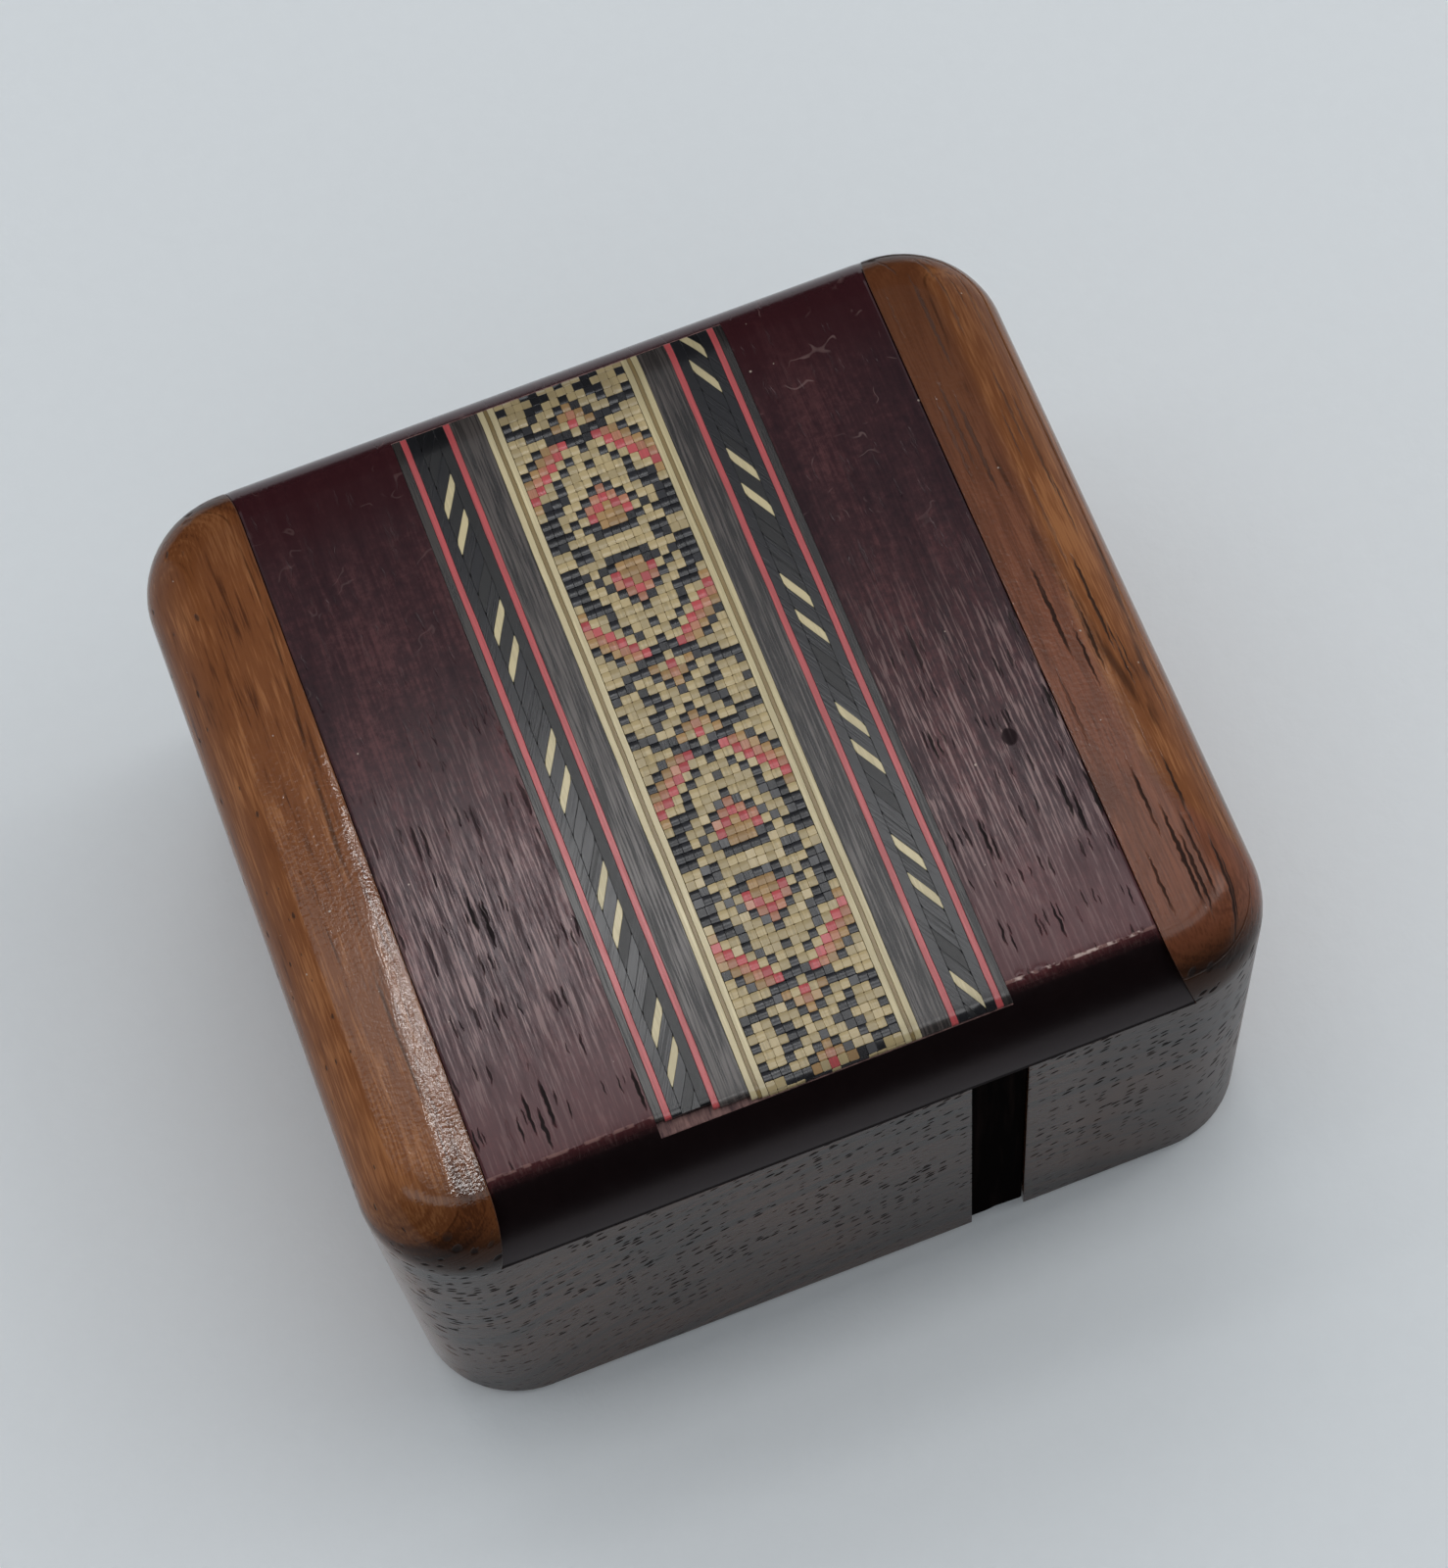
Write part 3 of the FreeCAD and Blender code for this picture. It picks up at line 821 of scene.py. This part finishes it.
class BandForm:
    """Places of the band's pieces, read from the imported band, and the wear that they share."""

    def __init__(self):
        self.shape = settings("band_shape")
        self.lid = LidForm()
        self.underside = self.lid.floor
        self.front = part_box("wide_strip_right")[0][1]
        self.back = self.lid.round_place(self.underside + self.shape.thin_end)
        boxes = [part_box(f"mosaic_{wood}") for wood in MOSAIC_WOODS]
        self.left = min(low[0] for low, high in boxes)
        self.right = max(high[0] for low, high in boxes)

    def top(self, x, y):
        """Height of the band's top, worn down at its front end."""
        share = max(1 - (y - self.front) / self.shape.worn_end, 0.0)
        uneven = 0.6 + 0.8 * noise.noise((x / MM * 0.8, 4.2, 9.1))
        return self.lid.block_top(y) - self.shape.end_wear * share ** 2 * uneven

    def swayed(self, x, y):
        """X after the slow wander of all the strips. It fades out at the band's sides."""
        edge = min(x - self.lid.groove_left, self.lid.groove_right - x) / MM
        drift = noise.noise((x / MM * 0.35, y / MM * 0.16, 2.7))
        drift = drift + 0.35 * noise.noise((x / MM * 1.1, y / MM * 0.7, 6.4))
        return x + self.shape.sway * drift * min(max(edge, 0.0), 1.0)

    def stations(self, low, high):
        """Places along Y for a piece that runs from low to high."""
        count = max(round((high - low) / self.shape.station), 1)
        return [low + (high - low) * step / count for step in range(count + 1)]

    def bar(self, solid, stations, tilt=0.0):
        """A closed bar along Y. A station is Y, the low and high X, and how far its top is lowered."""
        rings = []
        for y, low, high, drop in stations:
            middle = (low + high) / 2
            top = self.top(middle, y) - drop
            ease = min(self.shape.ease, (high - low) / 4, (top - self.underside) / 3)
            outline = []
            for x, z in (
                (low, self.underside), (low, top - ease), (low + ease, top),
                (high - ease, top), (high, top - ease), (high, self.underside),
            ):
                place = y + tilt * (x - middle)
                outline.append((self.swayed(x, place), place, z))
            rings.append(solid.ring(outline))
        solid.tube(rings)

    def strip(self, solid, low_x, high_x, low_y):
        """A straight strip that runs to the back end of the band, with a softened front end."""
        soft = self.shape.soft_end
        places = [low_y, low_y + soft, *self.stations(low_y + 2 * soft, self.back)]
        drops = [soft, 0.3 * soft] + [0.0] * (len(places) - 2)
        self.bar(solid, [(y, low_x, high_x, drop) for y, drop in zip(places, drops)])

    def slant(self, solid, middle, half, slope, edge, limits):
        """A leaning piece, its short edges along Y, cut off where the strip ends."""
        x, y = middle
        reach = (abs(slope) * 2 * half + edge) / 2 - self.shape.sliver_tip
        low = max(y - reach, limits[0])
        high = min(y + reach, limits[1])
        if high - low < self.shape.station:
            return
        stations = []
        for place in self.stations(low, high):
            ends = sorted(((place - y - edge / 2) / slope, (place - y + edge / 2) / slope))
            stations.append((place, x + max(ends[0], -half), x + min(ends[1], half), 0.0))
        self.bar(solid, stations)


def sliver_places(node):
    """Middle, half width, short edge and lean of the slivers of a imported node, and their places in Y."""
    low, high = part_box(node)
    level = [corner for corner in packed_corners(node) if corner[2] < low[2] + TOLERANCE]
    left = sorted(y for x, y, z in level if x < low[0] + TOLERANCE)
    right = sorted(y for x, y, z in level if x > high[0] - TOLERANCE)
    edge = left[1] - left[0]
    rise = right[0] - left[0]
    whole = min(len(left), len(right)) // 2
    places = [(left[2 * number] + right[2 * number] + edge) / 2 for number in range(whole)]
    return (low[0] + high[0]) / 2, (high[0] - low[0]) / 2, edge, rise, places


def rope(form, side):
    """The dark pieces and the pale slivers of a rope strip, as two solids, and how steeply they lean."""
    dark = Solid()
    pale = Solid()
    low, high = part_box(f"rope_strip_{side}")
    middle, half, edge, rise, places = sliver_places(f"rope_slivers_{side}")
    slope = rise / (2 * half)
    gap = form.shape.joint / 2
    form.strip(dark, low[0], middle - half - gap, low[1])
    form.strip(dark, middle + half + gap, high[0], low[1])
    limits = (low[1], form.back)
    reach = abs(rise) + edge
    bounds = [low[1] - reach, *places, form.back + reach]
    for place in places:
        form.slant(pale, (middle, place), half, slope, edge - gap, limits)
    for before, after in zip(bounds, bounds[1:]):
        room = after - before - edge
        count = max(round(room / form.shape.dark_slant), 1)
        for number in range(count):
            y = before + edge / 2 + room * (number + 0.5) / count
            form.slant(dark, (middle, y), half, slope, room / count - gap, limits)
    return dark, pale, slope


def tile_woods(form, crossing, width):
    """Wood of each tile of the mosaic, by row and column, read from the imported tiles.

    A face covers the rows whose middles are less than the reach, in rows, from it, as the band's ends
    may cut off more than half of a tile.
    """
    woods = {}
    step = form.shape.row_step
    reach = 0.45
    for wood in MOSAIC_WOODS:
        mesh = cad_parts[f"mosaic_{wood}"].data
        for face in mesh.polygons:
            if face.normal.z < 0.5:
                continue
            corners = [mesh.vertices[number].co for number in face.vertices]
            low_x = min(corner.x for corner in corners)
            high_x = max(corner.x for corner in corners)
            first_row = math.ceil((min(corner.y for corner in corners) - crossing) / step - reach)
            last_row = math.floor((max(corner.y for corner in corners) - crossing) / step + reach)
            for row in range(first_row, last_row + 1):
                for column in range(MOSAIC_COLUMNS):
                    if low_x < form.left + (column + 0.5) * width < high_x:
                        woods[row, column] = wood
    return woods


def mosaic(form):
    """One solid per wood, of tiles that are all a little out of square."""
    shape = form.shape
    chance = random.Random(MOSAIC_SEED)
    crossing = form.front + shape.first_crossing
    width = (form.right - form.left) / MOSAIC_COLUMNS
    woods = tile_woods(form, crossing, width)
    rows = sorted({row for row, column in woods})
    solids = {wood: Solid() for wood in MOSAIC_WOODS}
    gap = shape.joint / 2
    levels = {}
    for row in range(rows[0], rows[-1] + 2):
        levels[row] = crossing + (row - 0.5) * shape.row_step + chance.uniform(-1, 1) * shape.wander * 0.6
    for row in rows:
        shift = chance.uniform(-1, 1) * shape.wander
        sides = [
            form.left + column * width + shift + chance.uniform(-1, 1) * shape.wander
            for column in range(MOSAIC_COLUMNS + 1)
        ]
        sides[0] = form.left
        sides[-1] = form.right
        low = max(levels[row] + gap, form.front)
        high = min(levels[row + 1] - gap, form.back)
        for column in range(MOSAIC_COLUMNS):
            cut = min(shape.corner_cut * chance.uniform(0.6, 1.3), (high - low) / 3)
            tilt = chance.uniform(-0.05, 0.05)
            sink = shape.ease * chance.uniform(0.0, 0.5)
            left = sides[column] + gap
            right = sides[column + 1] - gap
            form.bar(solids[woods[row, column]], [
                (low, left + cut, right - cut, sink + shape.ease),
                (low + cut, left, right, sink),
                (high - cut, left, right, sink),
                (high, left + cut, right - cut, sink + shape.ease),
            ], tilt)
    return solids


def key_section(middle, ease):
    """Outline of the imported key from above, with rounded corners and points along its sides."""
    corners = [Vector(corner) for corner in {corner[:2] for corner in packed_corners("key")}]
    corners.sort(key=lambda corner: math.atan2(corner.y - middle.y, corner.x - middle.x))
    outline = []
    for number, corner in enumerate(corners):
        before = (corners[number - 1] - corner).normalized()
        side = corners[(number + 1) % len(corners)] - corner
        after = side.normalized()
        for turn in (0.0, 0.35, 0.65, 1.0):
            outline.append(corner + ease * ((1 - turn) ** 2 * before + turn ** 2 * after))
        for share in (0.3, 0.5, 0.7):
            outline.append(corner + share * side.length * after)
    return outline


def key_levels(low, high, shape):
    """Heights of the points along the key, and how far its rounded ends are drawn in there."""
    end_steps = 4
    ends = []
    for step in range(end_steps + 1):
        angle = math.pi / 2 * step / end_steps
        ends.append((shape.ease * (1 - math.sin(angle)), shape.ease * (1 - math.cos(angle))))
    run = high - low - 2 * shape.ease
    count = round(run / shape.station)
    levels = [(low + rise, inset) for rise, inset in reversed(ends)]
    levels += [(low + shape.ease + run * step / count, 0.0) for step in range(1, count)]
    levels += [(high - rise, inset) for rise, inset in ends]
    return levels


def key_bar():
    """The key, planed by hand: its edges are rounded and its faces stray a little inwards."""
    shape = settings("key_shape")
    low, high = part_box("key")
    middle = Vector(((low[0] + high[0]) / 2, (low[1] + high[1]) / 2))
    outline = key_section(middle, shape.ease)
    solid = Solid()
    rings = []
    for z, inset in key_levels(low[2], high[2], shape):
        ring = []
        for place in outline:
            x, y = place / MM
            wave = noise.noise((x * 0.6, y * 0.6, z / MM * 0.22))
            wave = wave + 0.4 * noise.noise((x * 1.3, y * 1.3, z / MM * 0.9 + 5.0))
            stray = shape.waver * min(max(0.5 + wave, 0.0), 1.0)
            pulled = place + (middle - place).normalized() * (inset + stray)
            ring.append((pulled.x, pulled.y, z))
        rings.append(solid.ring(ring))
    solid.tube(rings)
    return solid


class PUZZLEBOX_OT_body(bpy.types.Operator):
    """Finish the body in amber wood"""

    bl_idname = "puzzlebox.body"
    bl_label = "Finish Body"

    def execute(self, context):
        dress("box_body", AmberWood().made())
        return {"FINISHED"}


class PUZZLEBOX_OT_lid(bpy.types.Operator):
    """Make the lid's board in dark wood, with its chipped front arris"""

    bl_idname = "puzzlebox.lid"
    bl_label = "Make Lid"

    def execute(self, context):
        board = lid_board()
        board.piece("lid", [LidWood().made(), bare_wood()], "purple_brown_wood", sharp_degrees=10)
        return {"FINISHED"}


class PUZZLEBOX_OT_key(bpy.types.Operator):
    """Make the key in ebony, with rounded edges"""

    bl_idname = "puzzlebox.key"
    bl_label = "Make Key"

    def execute(self, context):
        key_bar().piece("key", [ebony_wood()], "ebony", sharp_degrees=40, body="key")
        return {"FINISHED"}


class PUZZLEBOX_OT_strips(bpy.types.Operator):
    """Make the straight strips and the rope strips of the band"""

    bl_idname = "puzzlebox.strips"
    bl_label = "Make Strips"

    def execute(self, context):
        woods = settings("band_woods")
        form = BandForm()
        creams = {
            # The cream lines on the left get the lighter tone, a painted highlight.
            "left": veneer("cream_line_left", woods.cream_highlight, darker(woods.cream, 0.75), contrast=0.4),
            "right": veneer("cream_line_right", woods.pale, darker(woods.cream, 0.62), contrast=0.4),
        }
        brown = veneer("brown_line", woods.brown, darker(woods.brown, 0.7))
        red = veneer("red_line", woods.red, darker(woods.red, 0.62), end_darkening=0.3)
        worn = {"dark": woods.grey_dark, "contrast": 1.0, "roughness": 0.18}
        grey = veneer("grey_strip", woods.grey, **worn)
        edge = veneer("edge_line", darker(woods.grey, 0.5), **worn)
        sliver = veneer("rope_sliver", woods.pale, darker(woods.pale, 0.7))
        black = darker(woods.black, 0.7)
        for side in SIDES:
            lines = {
                "cream_line_inner": (creams[side], "cream_wood"),
                "brown_line": (brown, "brown_wood"),
                "cream_line_outer": (creams[side], "cream_wood"),
                "wide_strip": (grey, "black_wood"),
                "red_line_inner": (red, "red_wood"),
                "red_line_outer": (red, "red_wood"),
                "edge_line": (edge, "black_wood"),
            }
            for name, (material, slot) in lines.items():
                node = f"{name}_{side}"
                low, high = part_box(node)
                solid = Solid()
                form.strip(solid, low[0], high[0], low[1])
                solid.piece(node, [material], slot)
            dark, pale, slope = rope(form, side)
            dyed = veneer(
                f"rope_strip_{side}", black, woods.black_dark, contrast=1.0, variety=0.35, lean=-1 / slope,
            )
            dark.piece(f"rope_strip_{side}", [dyed], "black_wood")
            pale.piece(f"rope_slivers_{side}", [sliver], "cream_wood")
        return {"FINISHED"}


class PUZZLEBOX_OT_mosaic(bpy.types.Operator):
    """Make the mosaic's tiles one by one"""

    bl_idname = "puzzlebox.mosaic"
    bl_label = "Make Mosaic"

    def execute(self, context):
        woods = settings("band_woods")
        tones = {
            "dark": (woods.black, woods.black_dark, "black_wood"),
            "cream": (woods.cream, darker(woods.cream, 0.62), "cream_wood"),
            "red": (woods.red, darker(woods.red, 0.6), "red_wood"),
            "pink": (woods.pink, darker(woods.pink, 0.6), "pink_wood"),
            "tan": (woods.tan, darker(woods.tan, 0.6), "tan_wood"),
        }
        for wood, solid in mosaic(BandForm()).items():
            tone, dark, slot = tones[wood]
            finish = veneer(f"{wood}_tile", tone, dark, contrast=0.6, variety=0.5)
            solid.piece(f"mosaic_{wood}", [finish], slot)
        return {"FINISHED"}


def add_lamp(name, place, size, watts, target=None):
    """A soft lamp that shines at the target, or straight down where none is given."""
    lamp = bpy.data.lights.new(name, "AREA")
    lamp.shape = "RECTANGLE"
    lamp.size, lamp.size_y = size
    lamp.energy = watts
    holder = bpy.data.objects.new(name, lamp)
    bpy.context.scene.collection.objects.link(holder)
    holder.location = place
    if target is not None:
        holder.rotation_euler = (Vector(target) - Vector(place)).to_track_quat("-Z", "Y").to_euler()
    return holder


def add_plane(name, corners, material):
    mesh = bpy.data.meshes.new(name)
    mesh.from_pydata(corners, [], [tuple(range(len(corners)))])
    mesh.materials.append(material)
    plane = bpy.data.objects.new(name, mesh)
    bpy.context.scene.collection.objects.link(plane)
    return plane


def floor_finish(tone):
    finish = Finish("floor_finish")
    grain = finish.noise(finish.place, 0.6, 3.0)
    finish.base = finish.mix(0.12 * grain, tone, darker(tone, 0.8))
    return finish.finished(0.6, grain, 0.05 * MM)


def flag_finish(dark, tone):
    finish = Finish("flag_finish")
    finish.shade(finish.noise(finish.place, 0.01), [(0.3, dark), (0.7, tone)])
    return finish.finished(0.9)


class PUZZLEBOX_OT_stage(bpy.types.Operator):
    """Set up the camera, lamps and floor"""

    bl_idname = "puzzlebox.stage"
    bl_label = "Set Up Studio"

    def execute(self, context):
        studio = settings("studio")
        context.scene.view_settings.view_transform = "Standard"
        self.add_camera(context.scene, studio)
        self.add_floor(studio)
        self.add_flags(studio)
        self.add_sky(context.scene, studio)
        self.add_lamps(studio)
        return {"FINISHED"}

    def add_camera(self, scene, studio):
        camera = bpy.data.cameras.new("camera")
        camera.sensor_fit = "VERTICAL"
        camera.sensor_height = 36.0
        camera.lens = studio.lens
        camera.clip_start = 0.01
        holder = bpy.data.objects.new("camera", camera)
        holder.location = studio.camera_place
        holder.rotation_euler = studio.camera_turn
        scene.collection.objects.link(holder)
        scene.camera = holder

    def add_floor(self, studio):
        reach = 2.0
        low = cad_bounds[0][2]
        corners = [(-reach, -reach, low), (reach, -reach, low), (reach, reach, low), (-reach, reach, low)]
        add_plane("floor", corners, floor_finish(studio.floor))

    def add_flags(self, studio):
        """Black cloths in front and behind, which show in the polish and nowhere else."""
        side = 0.7
        edges = {
            "front_flag": ((-0.75, 0.08), (0.0, 0.6)),
            "back_flag": ((0.9, 0.0), (0.9, 1.77)),
        }
        cloth = flag_finish(studio.flag_dark, studio.flag)
        for name, (low, high) in edges.items():
            flag = add_plane(name, [(-side, *low), (side, *low), (side, *high), (-side, *high)], cloth)
            flag.visible_camera = False
            flag.visible_diffuse = False
            flag.visible_shadow = False

    def add_sky(self, scene, studio):
        """Even light from all round, paler at the horizon than overhead."""
        scene.world = bpy.data.worlds.new("sky")
        scene.world.use_nodes = True
        tree = scene.world.node_tree
        direction = tree.nodes.new("ShaderNodeTexCoord")
        parts = tree.nodes.new("ShaderNodeSeparateXYZ")
        ramp = tree.nodes.new("ShaderNodeValToRGB")
        stops = ((0.15, studio.horizon), (0.8, studio.sky))
        for element, (place, tone) in zip(ramp.color_ramp.elements, stops):
            element.position = place
            element.color = (*tone, 1.0)
        tree.links.new(direction.outputs["Generated"], parts.inputs[0])
        tree.links.new(parts.outputs[2], ramp.inputs["Fac"])
        tree.links.new(ramp.outputs["Color"], tree.nodes["Background"].inputs["Color"])

    def add_lamps(self, studio):
        """Soft lamps overhead, on the right and behind, and two small windows."""
        add_lamp("broad_lamp", (0.2, 0.1, 1.2), (2.0, 0.2), studio.broad_power)
        strip = add_lamp("strip_lamp", (0.2, 0.378, 1.2), (2.0, 0.11), studio.strip_power)
        strip.rotation_euler.z = math.radians(-7.0)
        add_lamp("side_lamp", (0.9, -0.1, 1.0), (0.6, 0.6), studio.side_power, (0.1, -0.1, 0.0))
        back = add_lamp("back_lamp", (0.1, 0.75, 1.1), (0.9, 0.4), studio.back_power, (0.0, 0.0, 0.0))
        back.visible_glossy = False
        add_lamp("lid_pane", (0.02, 0.43, 1.19), (0.08, 0.06), studio.lid_power)
        pane = add_lamp("rail_pane", (0.088, 0.4, 1.19), (0.05, 0.11), studio.rail_power)
        lit = bpy.data.collections.new("lit_by_rail_pane")
        lit.objects.link(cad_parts["box_body"])
        pane.light_linking.receiver_collection = lit


class PUZZLEBOX_PT_sidebar(bpy.types.Panel):
    """Lists the steps in their order"""

    bl_idname = "PUZZLEBOX_PT_sidebar"
    bl_label = "Puzzle Box"
    bl_space_type = "VIEW_3D"
    bl_region_type = "UI"
    bl_category = "Puzzle Box"

    def draw(self, context):
        for step in STEPS:
            self.layout.operator(step.bl_idname)


GROUPS = {
    "block_woods": BlockWoods,
    "band_woods": BandWoods,
    "band_shape": BandShape,
    "lid_shape": LidShape,
    "key_shape": KeyShape,
    "studio": Studio,
}
STEPS = (
    PUZZLEBOX_OT_body,
    PUZZLEBOX_OT_lid,
    PUZZLEBOX_OT_key,
    PUZZLEBOX_OT_strips,
    PUZZLEBOX_OT_mosaic,
    PUZZLEBOX_OT_stage,
)


def register():
    for group in (*GROUPS.values(), *STEPS, PUZZLEBOX_PT_sidebar):
        bpy.utils.register_class(group)
    for name, group in GROUPS.items():
        setattr(bpy.types.Scene, name, PointerProperty(type=group))


def unregister():
    for name in GROUPS:
        delattr(bpy.types.Scene, name)
    for group in (PUZZLEBOX_PT_sidebar, *reversed(STEPS), *reversed(GROUPS.values())):
        bpy.utils.unregister_class(group)


def main():
    register()
    bpy.ops.puzzlebox.body()
    bpy.ops.puzzlebox.lid()
    bpy.ops.puzzlebox.key()
    bpy.ops.puzzlebox.strips()
    bpy.ops.puzzlebox.mosaic()
    bpy.ops.puzzlebox.stage()


if __name__ == "__main__":
    main()
